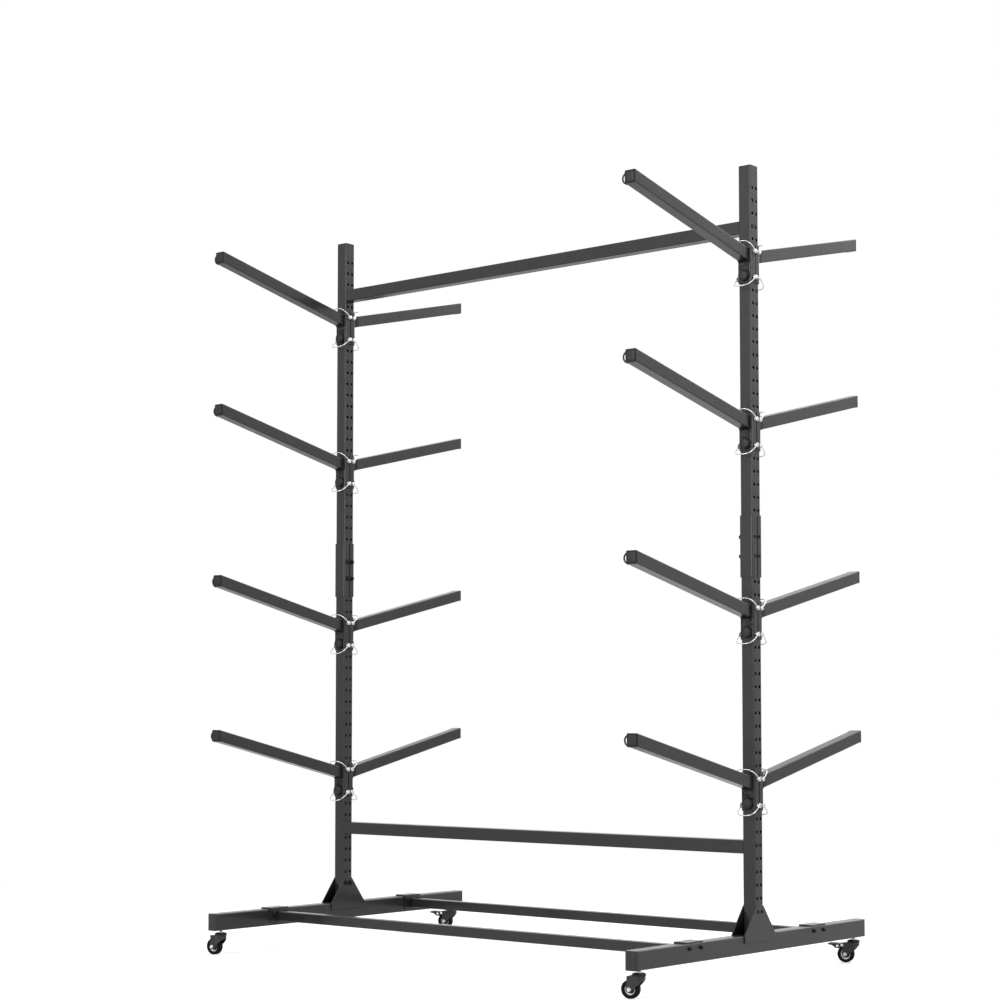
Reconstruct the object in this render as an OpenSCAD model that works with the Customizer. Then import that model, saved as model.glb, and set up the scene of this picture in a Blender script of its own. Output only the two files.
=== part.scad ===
// Freestanding two-post boat rack on casters, with sixteen tilted arms that pin to the posts.
// Millimetres. X runs from post to post, -Y is the front and +Z is up.
// The origin is on the floor, under the middle of the bounding box.

/* [Posts] */
// Distance between the centre lines of the two posts
post_spacing = 1604; // [1200:1:2000]
// Outside width of the square post tube
post_w = 40; // [36:0.5:50]
// Wall thickness of the post tube
post_wall = 2; // [1.5:0.1:3]
// Outside corner radius of the post tube
post_round = 3; // [2:0.1:4]
// Hole-to-hole distance along a post
hole_pitch = 37; // [34:0.5:42]
// Diameter of the adjustment holes
hole_d = 10; // [9.6:0.1:12]
// Distance between the front and the back column of holes
column_pitch = 19; // [17:0.5:22]
// Rows of holes in each post section
post_rows = 28; // [24:1:30]
// End of a post section to its first hole, at the long end
post_end_long = 62; // [58:0.5:70]
// End of a post section to its last hole, at the short end
post_end_short = 27.5; // [26:0.5:36]

/* [Splices] */
// Length of the splice channels that join two post sections
splice_len = 176; // [130:1:180]
// Wall thickness of the splice channels
splice_t = 3; // [2:0.1:4]
// Gap between a splice channel and the post
splice_gap = 0.1; // [0.05:0.05:0.3]

/* [Feet] */
// Length of each foot
foot_len = 1158; // [900:1:1300]
// Height of the foot tube
foot_h = 52; // [50:0.5:60]
// Wall thickness of the foot tube
foot_wall = 2; // [1.5:0.1:3]
// Outside corner radius of the foot tube
foot_round = 4; // [3:0.1:6]
// Outside corner radius of the foot's closed ends, seen from above
foot_end_round = 10; // [5:0.5:14]
// Side gap between the post and a gusset plate
gusset_gap = 0.1; // [0.05:0.05:0.3]
// Thickness of the gusset plates
gusset_t = 3; // [2:0.1:6]
// Height of a gusset plate above the foot
gusset_h = 79; // [74:0.5:90]
// Width of a gusset plate at the foot
gusset_base = 152; // [120:1:200]
// Width of a gusset plate at its top
gusset_top = 33; // [28:1:36]
// Overlap of a gusset plate down the side of the foot
gusset_lap = 21; // [15:0.5:30]

/* [Base rails] */
// Outside width and height of the square rail tube
rail_w = 30; // [25:0.5:35]
// Wall thickness of the rail tube
rail_wall = 2; // [1.5:0.1:3]
// Distance of each rail from the posts, front and back
rail_y = 312; // [200:1:400]
// Underside of the rail above the underside of the foot
rail_lift = 14; // [12:0.5:16]
// Width of a rail's end plate
plate_w = 76; // [72:1:90]
// Thickness of a rail's end plate
plate_t = 4; // [3:0.1:6]
// Underside of the end plate above the underside of the foot
plate_lift = 11; // [6:0.5:12]
// Thickness of the end plate's lip on top of the foot
lip_t = 4; // [2:0.5:6]
// Length of the end plate's lip across the top of the foot
lip_l = 39; // [30:0.5:40]
// Distance between the two bolts of an end plate
plate_bolts = 53; // [51:0.5:56]
// Height of the base bolts above the underside of the foot
plate_bolt_z = 38.5; // [30:0.5:42]

/* [Crossbars] */
// Outside width and height of the square crossbar tube
bar_w = 38; // [34:0.5:40]
// Wall thickness of the crossbar tube
bar_wall = 2; // [1.5:0.1:3]
// Thickness of a crossbar's end plate
bar_end_t = 6; // [4:0.5:10]
// Distance of the lower crossbar's centre below its row of holes
bar_drop_low = 5.5; // [0:0.5:8]
// Distance of the upper crossbar's centre below its row of holes
bar_drop_high = 1; // [0:0.5:8]
// Row of holes that carries the lower crossbar
bar_row_low = 5; // [4:1:5]
// Row of holes in the upper post section that carries the upper crossbar
bar_row_high = 24; // [24:1:26]

/* [Arms] */
// Row of the lower pin of the lowest arms, in the lower post section
arm_row_1 = 8; // [8:1:9]
// Row of the lower pin of the second arms, in the lower post section
arm_row_2 = 21; // [20:1:21]
// Row of the lower pin of the third arms, in the upper post section
arm_row_3 = 7; // [7:1:8]
// Row of the lower pin of the top arms, in the upper post section
arm_row_4 = 20; // [19:1:20]
// Rows between the two pins of an arm
pin_rows = 2; // [2:1:2]
// Outside width and height of the square arm tube
arm_w = 35; // [30:0.5:38]
// Wall thickness of the arm tube
arm_wall = 2; // [1.5:0.1:3]
// Outside corner radius of the arm tube
arm_round = 3; // [2.2:0.1:4]
// Upward tilt of the arms, in degrees
arm_tilt = 13; // [5:0.5:20]
// Distance from the post's centre to the end of an arm tube
arm_reach = 562; // [400:1:570]
// Arm centre line below the upper pin, at the bracket
arm_drop = 10; // [6:0.1:12]
// Thickness of the arm bracket
bracket_t = 2.5; // [2:0.1:4]
// Leg of the fillet weld round the root of the arm tube
arm_weld = 3; // [2:0.5:4]
// Running gap between the bracket and the post
bracket_gap = 0.5; // [0.4:0.05:0.8]
// Bracket above its upper pin
bracket_above = 20; // [18:0.5:22]
// Bracket below its lower pin
bracket_below = 15; // [14:0.5:18]
// Gap between the front and the back bracket on the side of a post
bracket_seam = 4; // [2:0.5:5]
// Thickness of the arm end cap's flange
cap_t = 3.5; // [2:0.1:6]
// Height of the end cap's raised face
cap_dome = 1.5; // [0.5:0.1:3]
// Depth of the end cap's plug
cap_plug = 14; // [8:0.5:20]
// Gap round a cap's plug, and round the pins and studs in the bracket
plug_gap = 0.15; // [0.1:0.05:0.3]
// Gap under a cap or knob that sits on the steel
seat_gap = 0.1; // [0.05:0.05:0.3]

/* [Strap rings] */
// Diameter of the strap ring's wire
ring_wire = 5; // [3:0.5:5]
// Centre-line radius of the strap ring
ring_r = 14.5; // [12:0.5:14.5]
// Distance of the strap ring from the end of the arm tube
ring_inset = 6; // [4:0.5:20]

/* [Clamp knobs] */
// Diameter of the clamp knob
knob_d = 32; // [26:0.5:34]
// Height of the clamp knob
knob_h = 8; // [6:0.5:12]
// Bevel round the clamp knob's face
knob_bevel = 1.5; // [0.5:0.1:2]
// Diameter of the clamp knob's stud
knob_stud = 8; // [6:0.5:10]
// Height of the knob above the lower pin
knob_rise = 6; // [3:0.5:8]
// Gap between the end of the knob's stud and the post
stud_gap = 0.3; // [0.3:0.05:0.4]

/* [Lock pins] */
// Diameter of a lock pin
pin_d = 9; // [8:0.1:9.1]
// Diameter of a lock pin's head
pin_head_d = 13; // [12:0.5:14]
// Length of a lock pin's head
pin_head_l = 10; // [8:0.5:12]
// Length of the pin's tail past the bracket
pin_tail = 13; // [12:0.5:16]
// Diameter of the bail wire
bail_wire = 3; // [2.5:0.1:3.5]
// Reach of the bail from its pin
bail_reach = 44; // [36:0.5:48]
// Bend radius of the bail
bail_bend = 20; // [10:0.5:24]
// Rise of the upper bail from the horizontal, in degrees
bail_up = 38; // [35:1:50]
// Drop of the lower bail from the horizontal, in degrees
bail_down = 38; // [32:1:44]
// Gap between the bail's eye and the pin
eye_gap = 0.4; // [0.2:0.05:0.6]

/* [Fasteners] */
// Diameter of the frame bolts
bolt_d = 8; // [6:0.5:8.5]
// Diameter of the head of a base bolt
bolt_head_d = 10.8; // [10:0.1:15]
// Height of the head of a base bolt
bolt_head_h = 6; // [3:0.1:7]
// Diameter of the low head of a post or crossbar bolt
low_head_d = 11.4; // [11:0.1:15]
// Height of the low head of a post or crossbar bolt
low_head_h = 1.6; // [1:0.1:4]
// Width of a nut across its corners
nut_d = 15; // [13:0.5:16]
// Height of a nut
nut_h = 6; // [5:0.1:8]
// Clearance round a bolt in its hole
bolt_gap = 0.3; // [0.2:0.05:0.5]
// Length of a bolt past the face of its nut
bolt_tip = 3; // [1:0.5:5]
// Thickness of a post top cap's flange
top_cap_t = 4; // [3:0.5:8]

/* [Casters] */
// Distance from the end of a foot to the swivel axis
caster_inset = 40; // [34:1:80]
// Diameter of a wheel
wheel_d = 50; // [50:0.5:52]
// Width of a wheel's tread
wheel_w = 20; // [16:0.5:21]
// Depth of the dish between a wheel's hub and its tyre, on each side
wheel_dish = 6.5; // [2:0.5:7]
// Distance from the swivel axis to the wheel's axle
trail = 23; // [20:0.5:24]
// Height of the swivel cap's top above the floor
caster_h = 68.3; // [68:0.1:72]
// Diameter of the swivel cap
race_d = 37.8; // [36:0.1:42]
// Height of the swivel cap
race_h = 7.9; // [6:0.1:8]
// Diameter of the threaded stem
stem_d = 8; // [6:0.5:10]
// Length of stem that shows between the washer and the foot
stem_show = 5.4; // [2:0.1:8]
// Thickness of the stem's washer
washer_t = 2.3; // [1.5:0.1:3]
// Diameter of the stem's washer
washer_d = 17.5; // [15:0.5:20]
// Length of stem inside the foot
stem_in = 15; // [10:0.5:18]
// Thickness of the fork's plates
fork_t = 2.5; // [2:0.1:3]
// Distance between the fork's two side plates
fork_gap = 24; // [23:0.5:26]
// Radius of the fork round its swivel axis
fork_r = 17.4; // [17:0.1:18]
// Radius of the fork's ends round the axle
fork_end_r = 9; // [7:0.5:9.5]
// Diameter of the axle
axle_d = 6; // [5:0.5:8]
// Diameter of the axle's heads
axle_head_d = 10.3; // [9:0.1:12]
// Height of the axle's heads
axle_head_h = 2.6; // [2:0.1:4]
// Diameter of the wheel's hub
hub_d = 17; // [14:0.5:18]
// Radial running clearance on every axle and swivel
run_fit = 0.05; // [0.02:0.01:0.1]
// Gap between faces that turn past each other
face_gap = 0.3; // [0.3:0.05:0.5]
// Direction of each caster's wheel, in degrees from +X: front left
turn_fl = 190; // [0:1:360]
// Direction of the front right caster's wheel
turn_fr = 195; // [0:1:360]
// Direction of the back left caster's wheel
turn_bl = 200; // [0:1:360]
// Direction of the back right caster's wheel
turn_br = 198; // [0:1:360]

/* [Brake pedals] */
// Pivot of the pedal from the swivel axis
pedal_x = 31; // [30:0.5:32]
// Height of the pedal's pivot above the floor
pedal_z = 52.2; // [52:0.1:53]
// Outer end of the pedal from the swivel axis
pedal_end = 74; // [65:0.5:80]
// Thickness of the pedal's sheet
pedal_t = 2.4; // [2:0.1:3]
// Diameter of the pedal's pivot pin
pedal_pin = 4.5; // [4:0.1:5]
// Diameter of the pedal's rivet heads
rivet_d = 8.5; // [7:0.1:9]
// Height of the rivet heads
rivet_h = 1.8; // [1:0.1:3]
// Width of the brake shoe along the tyre
shoe_l = 9; // [6:0.5:12]

/* [Hidden] */
$fn = 64;
eps = 0.5;
post_len = post_end_long + post_end_short + (post_rows - 1) * hole_pitch;
foot_w = post_w;
foot_z = caster_h + washer_t + stem_show;
post_z = foot_z + foot_h;
joint_z = post_z + post_len;
top_z = joint_z + post_len;
col_y = column_pitch / 2;
post_x = post_spacing / 2;
bolt_hole = bolt_d + 2 * bolt_gap;
// bracket planes, measured from the post's centre
br_in = post_w / 2 + bracket_gap;
br_out = br_in + bracket_t;
sp_in = post_w / 2 + splice_gap;
sp_out = sp_in + splice_t;
foot_in_w = foot_w - 2 * foot_wall;
gu_in = post_w / 2 + gusset_gap;
gu_out = gu_in + gusset_t;
pin_span = pin_rows * hole_pitch;
arm_rise = tan(arm_tilt);
arm_hz = arm_w / cos(arm_tilt);
tip_rise = pin_span - arm_drop + (arm_reach - br_out) * arm_rise;
// caster planes
wheel_r = wheel_d / 2;
fork_top = caster_h - race_h - face_gap;
fork_out = fork_gap / 2 + fork_t;
// the bounding box runs from the back left pedal to the right-hand pin heads
box_lo = -post_x + pedal_end * cos(turn_bl) + (fork_out + face_gap + pedal_t) * sin(turn_bl);
box_hi = post_x + br_out + face_gap + pin_head_l;
shift_x = -(box_lo + box_hi) / 2;

function low_row(k) = post_z + post_end_long + k * hole_pitch;
function high_row(k) = joint_z + post_end_short + k * hole_pitch;
arm_z = [low_row(arm_row_1), low_row(arm_row_2), high_row(arm_row_3), high_row(arm_row_4)];
bar_z = [low_row(bar_row_low), high_row(bar_row_high)];

module rounded(w, h, r) {
    square([w - 2 * r, h], center = true);
    square([w, h - 2 * r], center = true);
    for (sx = [-1, 1], sy = [-1, 1])
        translate([sx * (w / 2 - r), sy * (h / 2 - r)]) circle(r);
}

// a rod along +X from x0 to x1
module rod_x(d, x0, x1) {
    translate([x0, 0, 0]) rotate([0, 90, 0]) cylinder(h = x1 - x0, d = d);
}

// a rod along +Y from y0 to y1
module rod_y(d, y0, y1) {
    translate([0, y1, 0]) rotate([90, 0, 0]) cylinder(h = y1 - y0, d = d);
}

// a bolt along -X from its head's seat at x = 0, with its nut seated at -grip
module bolt(grip, nut, head_d = low_head_d, head_h = low_head_h) {
    rod_x(head_d, 0, head_h * 0.6);
    translate([head_h * 0.6, 0, 0]) rotate([0, 90, 0])
        cylinder(h = head_h * 0.4, d1 = head_d, d2 = head_d * 0.7);
    rod_x(bolt_d, -grip - (nut ? nut_h + bolt_tip : 0), 0);
    if (nut)
        translate([-grip - nut_h, 0, 0]) rotate([0, 90, 0]) cylinder(h = nut_h, d = nut_d, $fn = 6);
}

// ---- fixed frame ----

module post(end_low) {
    difference() {
        linear_extrude(post_len) difference() {
            rounded(post_w, post_w, post_round);
            rounded(post_w - 2 * post_wall, post_w - 2 * post_wall, post_round - post_wall);
        }
        for (k = [0 : post_rows - 1], s = [-1, 1])
            translate([0, s * col_y, end_low + k * hole_pitch])
                rod_x(hole_d, -post_w / 2 - eps, post_w / 2 + eps);
    }
}

module post_lower(s) {
    color("#2f3134") translate([s * post_x + shift_x, 0, post_z]) post(post_end_long);
}

module post_upper(s) {
    color("#2f3134") translate([s * post_x + shift_x, 0, joint_z]) post(post_end_short);
}

module channel_plan(half_in, half_out, seam) {
    difference() {
        rounded(2 * half_out, 2 * half_out, post_round + half_out - half_in);
        rounded(2 * half_in, 2 * half_in, post_round);
        translate([-half_out - eps, -seam / 2]) square([2 * half_out + 2 * eps, half_out + seam]);
    }
}

module splice(s) {
    color("#26282a") translate([s * post_x + shift_x, 0, joint_z]) for (m = [0, 1]) mirror([0, m, 0])
        difference() {
            translate([0, 0, -splice_len / 2]) linear_extrude(splice_len)
                channel_plan(sp_in, sp_out, bracket_seam);
            for (e = [-1, 1]) translate([0, -col_y, e * post_end_short])
                rod_x(hole_d, -sp_out - eps, sp_out + eps);
        }
}

// the two gusset plates of a foot, with z = 0 on top of the foot
module gussets() {
    for (m = [0, 1]) mirror([m, 0, 0]) translate([gu_in, 0, 0]) {
        rotate([90, 0, 90]) linear_extrude(gusset_t) polygon([
            [-gusset_base / 2, -gusset_lap], [gusset_base / 2, -gusset_lap],
            [gusset_base / 2, 0], [gusset_top / 2, gusset_h],
            [-gusset_top / 2, gusset_h], [-gusset_base / 2, 0]]);
        // the weld that fills the gap along the foot's side
        translate([-gusset_gap, -gusset_base / 2 + 1, -gusset_lap + 1])
            cube([gusset_t, gusset_base - 2, gusset_lap - foot_round - 1]);
    }
}

module foot(s) {
    color("#34363a") translate([s * post_x + shift_x, 0, foot_z]) difference() {
        union() {
            difference() {
                intersection() {
                    translate([0, foot_len / 2, foot_h / 2]) rotate([90, 0, 0])
                        linear_extrude(foot_len) rounded(foot_w, foot_h, foot_round);
                    linear_extrude(foot_h) rounded(foot_w, foot_len, foot_end_round);
                }
                intersection() {
                    translate([0, foot_len / 2, foot_h / 2]) rotate([90, 0, 0])
                        linear_extrude(foot_len) rounded(foot_in_w, foot_h - 2 * foot_wall,
                            foot_round - foot_wall);
                    linear_extrude(foot_h)
                        rounded(foot_in_w, foot_len - 2 * foot_wall, foot_end_round - foot_wall);
                }
            }
            // threaded sockets that take the caster stems
            for (e = [-1, 1]) translate([0, e * (foot_len / 2 - caster_inset), foot_wall / 2])
                cylinder(h = stem_in + 3, d = stem_d + 12);
            translate([0, 0, foot_h]) gussets();
        }
        for (e = [-1, 1]) {
            translate([0, e * (foot_len / 2 - caster_inset), -eps])
                cylinder(h = stem_in + foot_wall + eps, d = stem_d + 0.2);
            for (b = [-1, 1]) translate([0, e * rail_y + b * plate_bolts / 2, plate_bolt_z])
                rod_x(bolt_hole, -foot_w / 2 - eps, foot_w / 2 + eps);
            translate([0, e * col_y, foot_h + post_end_long])
                rod_x(hole_d, -gu_out - eps, gu_out + eps);
        }
    }
}

module rail(s) {
    inner = post_spacing - foot_w;
    color("#303236") translate([shift_x, s * rail_y, foot_z]) {
        difference() {
            union() {
                translate([-inner / 2 + plate_t / 2, 0, rail_lift + rail_w / 2]) rotate([90, 0, 90])
                    linear_extrude(inner - plate_t) difference() {
                        rounded(rail_w, rail_w, rail_wall + 1);
                        rounded(rail_w - 2 * rail_wall, rail_w - 2 * rail_wall, 1);
                    }
                for (m = [-1, 1]) {
                    translate([m * (inner - plate_t) / 2, 0, (foot_h + lip_t + plate_lift) / 2])
                        rotate([90, 0, 90]) translate([0, 0, -plate_t / 2]) linear_extrude(plate_t)
                            rounded(plate_w, foot_h + lip_t - plate_lift, 3);
                    // the lip that lies on the foot
                    translate([m * (inner + lip_l - plate_t) / 2, 0, foot_h + lip_t / 2])
                        cube([lip_l + plate_t, plate_w, lip_t], center = true);
                }
            }
            for (b = [-1, 1], m = [-1, 1])
                translate([m * (inner - plate_t) / 2, b * plate_bolts / 2, plate_bolt_z])
                    rod_x(bolt_hole, -plate_t / 2 - eps, plate_t / 2 + eps);
        }
    }
}

module crossbar(level) {
    span = post_spacing - post_w;
    drop = level ? bar_drop_high : bar_drop_low;
    color("#303236") translate([shift_x, 0, bar_z[level]]) difference() {
        translate([-span / 2, 0, -drop]) rotate([90, 0, 90]) linear_extrude(span)
            rounded(bar_w, bar_w, bar_wall + 1);
        translate([-span / 2 + bar_end_t, 0, -drop]) rotate([90, 0, 90])
            linear_extrude(span - 2 * bar_end_t)
                rounded(bar_w - 2 * bar_wall, bar_w - 2 * bar_wall, 1);
        for (m = [-1, 1], b = [-1, 1]) translate([m * span / 2, b * col_y, 0])
            rod_x(bolt_d + 0.2, -bar_end_t - eps, bar_end_t + eps);
    }
}

module post_caps() {
    color("#1d1e20") for (s = [-1, 1]) translate([s * post_x + shift_x, 0, top_z]) {
        linear_extrude(top_cap_t) rounded(post_w, post_w, post_round);
        translate([0, 0, -cap_plug]) linear_extrude(cap_plug + 1) difference() {
            rounded(post_w - 2 * post_wall - 2 * plug_gap, post_w - 2 * post_wall - 2 * plug_gap, 1);
            square(post_w - 2 * post_wall - 8, center = true);
        }
    }
}

module base_bolts() {
    color("#18191a") for (s = [0, 1], e = [-1, 1], b = [-1, 1])
        translate([shift_x, e * rail_y + b * plate_bolts / 2, foot_z + plate_bolt_z])
            mirror([s, 0, 0]) translate([post_x + foot_w / 2, 0, 0])
                bolt(foot_w + plate_t, true, bolt_head_d, bolt_head_h);
}

// the bolts that hold the posts in the gussets and in the splices
module post_bolts() {
    color("#18191a") for (s = [0, 1], b = [-1, 1]) translate([shift_x, b * col_y, 0])
        mirror([s, 0, 0]) {
            translate([post_x + gu_out, 0, low_row(0)]) bolt(2 * gu_out, true);
            for (e = [-1, 1]) translate([post_x + sp_out, 0, joint_z + e * post_end_short])
                bolt(2 * sp_out, true);
        }
}

module crossbar_bolts() {
    color("#18191a") for (s = [0, 1], b = [-1, 1], level = [0, 1])
        translate([shift_x, b * col_y, bar_z[level]]) mirror([s, 0, 0])
            translate([post_x + post_w / 2, 0, 0]) bolt(post_w + bar_end_t + bolt_tip, false);
}

// ---- arms: drawn at the front of a post, z = 0 at the lower pin ----

module arm_axis(from_y) {
    translate([0, from_y, pin_span - arm_drop - (from_y + br_out) * arm_rise])
        rotate([90 - arm_tilt, 0, 0]) children();
}

// fillet weld round the root of the arm tube
module root_weld() {
    corner_r = post_round + bracket_t;
    side_x = min(arm_w / 2 + arm_weld, br_out - 1);
    sag = corner_r - sqrt(corner_r ^ 2 - max(0, side_x - br_out + corner_r) ^ 2);
    mid_z = pin_span - arm_drop;
    // above and below the tube
    for (m = [-1, 1]) translate([-arm_w / 2, 0, mid_z + m * arm_hz / 2]) rotate([90, 0, 90])
        linear_extrude(arm_w) polygon([
            [-br_out + eps, m * arm_weld], [-br_out, m * arm_weld],
            [-br_out - arm_weld * cos(arm_tilt), arm_weld * sin(arm_tilt)],
            [-br_out - arm_weld * cos(arm_tilt), arm_weld * sin(arm_tilt) - m * eps],
            [-br_out + eps, -m * eps]]);
    // at its two sides
    for (m = [0, 1]) mirror([m, 0, 0]) translate([0, 0, mid_z - arm_hz / 2 + arm_round / 2])
        linear_extrude(arm_hz - arm_round) polygon([
            [arm_w / 2 - eps, -br_out - arm_weld], [arm_w / 2, -br_out - arm_weld],
            [side_x, -br_out + sag], [side_x, -br_out + sag + eps], [arm_w / 2 - eps, -br_out + eps]]);
}

// bracket, tube and strap ring, welded together
module arm_weldment() {
    tube_l = arm_reach / cos(arm_tilt) + 2 * arm_w;
    ring_y = arm_reach - ring_inset;
    difference() {
        union() {
            translate([0, 0, -bracket_below]) linear_extrude(pin_span + bracket_above + bracket_below)
                channel_plan(br_in, br_out, bracket_seam);
            intersection() {
                arm_axis(-br_out) translate([0, 0, -arm_w]) linear_extrude(tube_l)
                    rounded(arm_w, arm_w, arm_round);
                translate([-arm_w, -arm_reach, -bracket_below])
                    cube([2 * arm_w, arm_reach - br_out + bracket_t / 2, tube_l]);
            }
            root_weld();
            translate([-arm_w / 2 + arm_wall / 2, -ring_y, tip_rise - ring_inset * arm_rise])
                rotate([90, 0, 0]) rotate([0, 0, 90]) rotate_extrude(angle = 180)
                    translate([ring_r, 0]) circle(d = ring_wire, $fn = 32);
        }
        difference() {
            arm_axis(-br_out) translate([0, 0, -arm_w]) linear_extrude(tube_l + arm_w)
                rounded(arm_w - 2 * arm_wall, arm_w - 2 * arm_wall, arm_round - arm_wall);
            translate([-arm_w, -br_out, -arm_reach]) cube([2 * arm_w, 4 * arm_w, 3 * arm_reach]);
        }
        for (z = [0, pin_span]) translate([0, -col_y, z])
            rod_x(pin_d + 2 * plug_gap, -br_out - eps, br_out + eps);
        translate([0, 0, knob_rise]) rod_y(knob_stud + 2 * plug_gap, -br_out - eps, -br_in + eps);
    }
}

// end cap: flange, raised face and hollow plug
module arm_cap() {
    plug = arm_w - 2 * arm_wall - 2 * plug_gap;
    difference() {
        union() {
            translate([0, -arm_reach - seat_gap, tip_rise]) rotate([90, 0, 0]) linear_extrude(cap_t)
                rounded(arm_w, arm_hz, arm_round);
            translate([0, -arm_reach - cap_t, tip_rise]) rotate([90, 0, 0])
                linear_extrude(cap_dome + seat_gap)
                    rounded(arm_w - 2 * cap_t, arm_hz - 2 * cap_t, arm_round);
            intersection() {
                arm_axis(-arm_reach) translate([0, 0, -2 * arm_w]) linear_extrude(4 * arm_w)
                    rounded(plug, plug, arm_round - arm_wall);
                translate([-arm_w, -arm_reach - cap_t / 2, tip_rise - 2 * arm_w])
                    cube([2 * arm_w, cap_plug + cap_t / 2, 4 * arm_w]);
            }
        }
        arm_axis(-arm_reach) translate([0, 0, -2 * arm_w]) linear_extrude(2 * arm_w - 2)
            square(plug - 7, center = true);
    }
}

// clamp knob, with its stud through the bracket
module arm_knob() {
    face = -br_out - seat_gap;
    translate([0, 0, knob_rise]) {
        rod_y(knob_d, face - knob_h + knob_bevel, face);
        translate([0, face - knob_h + knob_bevel, 0]) rotate([90, 0, 0])
            cylinder(h = knob_bevel, d1 = knob_d, d2 = knob_d - 2 * knob_bevel);
        rod_y(knob_stud, face - eps, -post_w / 2 - stud_gap);
    }
}

module arm_shape() {
    arm_weldment();
    arm_cap();
    arm_knob();
}

// the bail: a bent wire from the pin's head, round the bracket's front, to an eye on the tail
module bail(angle) {
    half = br_out + pin_head_l * 0.75;
    eye_r = pin_d / 2 + eye_gap + bail_wire / 2;
    rotate([-angle, 0, 0]) {
        translate([half, 0, 0]) rod_y(bail_wire, -bail_reach + bail_bend, 0);
        translate([-half, 0, 0]) rod_y(bail_wire, -bail_reach + bail_bend, -eye_r);
        translate([0, -bail_reach, 0]) rod_x(bail_wire, -half + bail_bend, half - bail_bend);
        for (m = [0, 1]) mirror([m, 0, 0]) translate([half - bail_bend, -bail_reach + bail_bend, 0])
            rotate([0, 0, -90]) rotate_extrude(angle = 90) translate([bail_bend, 0])
                circle(d = bail_wire, $fn = 32);
        translate([-half, 0, 0]) rotate([0, 90, 0]) rotate_extrude() translate([eye_r, 0])
            circle(d = bail_wire, $fn = 32);
    }
}

module pins_shape() {
    for (up = [0, 1]) translate([0, -col_y, up * pin_span]) {
        rod_x(pin_d, -br_out - pin_tail, br_out + face_gap + 1);
        rod_x(pin_head_d, br_out + face_gap, br_out + face_gap + pin_head_l);
        bail(up ? bail_up : -bail_down);
    }
}

module place_arm(s, back, level) {
    translate([s * post_x + shift_x, 0, arm_z[level - 1]]) mirror([0, back, 0]) children();
}

module arm(s, back, level) {
    color("#2b2d30") place_arm(s, back, level) arm_shape();
}

module pins(s, back, level) {
    color("#c9ccd0") place_arm(s, back, level) pins_shape();
}

// ---- casters: drawn with the swivel axis at x = 0, y = 0 and the wheel towards +X ----

module place_caster(s, e, turn) {
    translate([s * post_x + shift_x, e * (foot_len / 2 - caster_inset), 0]) rotate([0, 0, turn])
        children();
}

module stem_shape() {
    rivet_top = fork_top - fork_t - face_gap;
    translate([0, 0, rivet_top - 2.4]) cylinder(h = foot_z + foot_wall + stem_in - rivet_top, d = stem_d);
    translate([0, 0, rivet_top - 2.4]) cylinder(h = 2.4, d = stem_d + 6);
    translate([0, 0, caster_h]) cylinder(h = washer_t, d = washer_d);
}

module race_shape() {
    difference() {
        union() {
            translate([0, 0, caster_h - race_h]) cylinder(h = race_h * 0.35, d = race_d);
            translate([0, 0, caster_h - race_h * 0.65])
                cylinder(h = race_h * 0.65, d1 = race_d, d2 = race_d - 5);
        }
        translate([0, 0, caster_h - race_h - eps]) cylinder(h = race_h + 2 * eps, d = stem_d + 0.2);
    }
}

module caster_stems() {
    color("#c9ccd0") for (s = [-1, 1], e = [-1, 1]) place_caster(s, e, 0) stem_shape();
}

module caster_caps() {
    color("#1d1e20") for (s = [-1, 1], e = [-1, 1]) place_caster(s, e, 0) race_shape();
}

module fork_plan(r, half) {
    circle(r);
    translate([0, -half]) square([trail + 3 * fork_end_r, 2 * half]);
}

// outline of the fork seen from the side; a braked fork has ears for the pedal's pin
module fork_side(braked) {
    ear = pedal_pin / 2 + 2.2;
    union() {
        translate([trail, wheel_r]) circle(fork_end_r);
        polygon([[-fork_r - eps, fork_top], [-fork_r - eps, fork_top - 7],
                 [trail - fork_end_r * cos(45), wheel_r - fork_end_r * sin(45)],
                 [trail + fork_end_r, wheel_r],
                 [trail + fork_end_r - 2, fork_top - 16], [trail + 7, fork_top]]);
        if (braked) {
            translate([pedal_x, pedal_z]) circle(ear);
            translate([trail, pedal_z - ear]) square([pedal_x - trail, 2 * ear]);
        }
    }
}

module fork_shape(braked) {
    difference() {
        intersection() {
            linear_extrude(fork_top) fork_plan(fork_r, fork_out);
            translate([0, fork_r + 1, 0]) rotate([90, 0, 0]) linear_extrude(2 * fork_r + 2)
                fork_side(braked);
        }
        translate([0, 0, -eps]) linear_extrude(fork_top - fork_t + eps)
            fork_plan(fork_r - fork_t, fork_gap / 2);
        // the top plate stops short of the tyre's crown and of the pedal
        translate([trail + 4, -fork_gap / 2, -eps]) cube([2 * wheel_r, fork_gap, fork_top + 2 * eps]);
        translate([0, 0, -eps]) cylinder(h = fork_top + 2 * eps, d = stem_d + 2 * run_fit);
        translate([trail, 0, wheel_r]) rod_y(axle_d + 0.2, -fork_r - eps, fork_r + eps);
        if (braked) translate([pedal_x, 0, pedal_z]) rod_y(pedal_pin + 0.2, -fork_r, fork_r);
    }
    // axle bolt
    translate([trail, 0, wheel_r]) {
        rod_y(axle_d, -fork_out - 1, fork_out + 1);
        rod_y(axle_head_d, fork_out, fork_out + axle_head_h);
        rod_y(axle_head_d, -fork_out - axle_head_h, -fork_out);
    }
    // pedal pivot pin
    if (braked) translate([pedal_x, 0, pedal_z]) {
        side = fork_out + 2 * face_gap + pedal_t;
        rod_y(pedal_pin, -side - 1, side + 1);
        rod_y(rivet_d, side, side + rivet_h);
        rod_y(rivet_d, -side - rivet_h, -side);
    }
}

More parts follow.
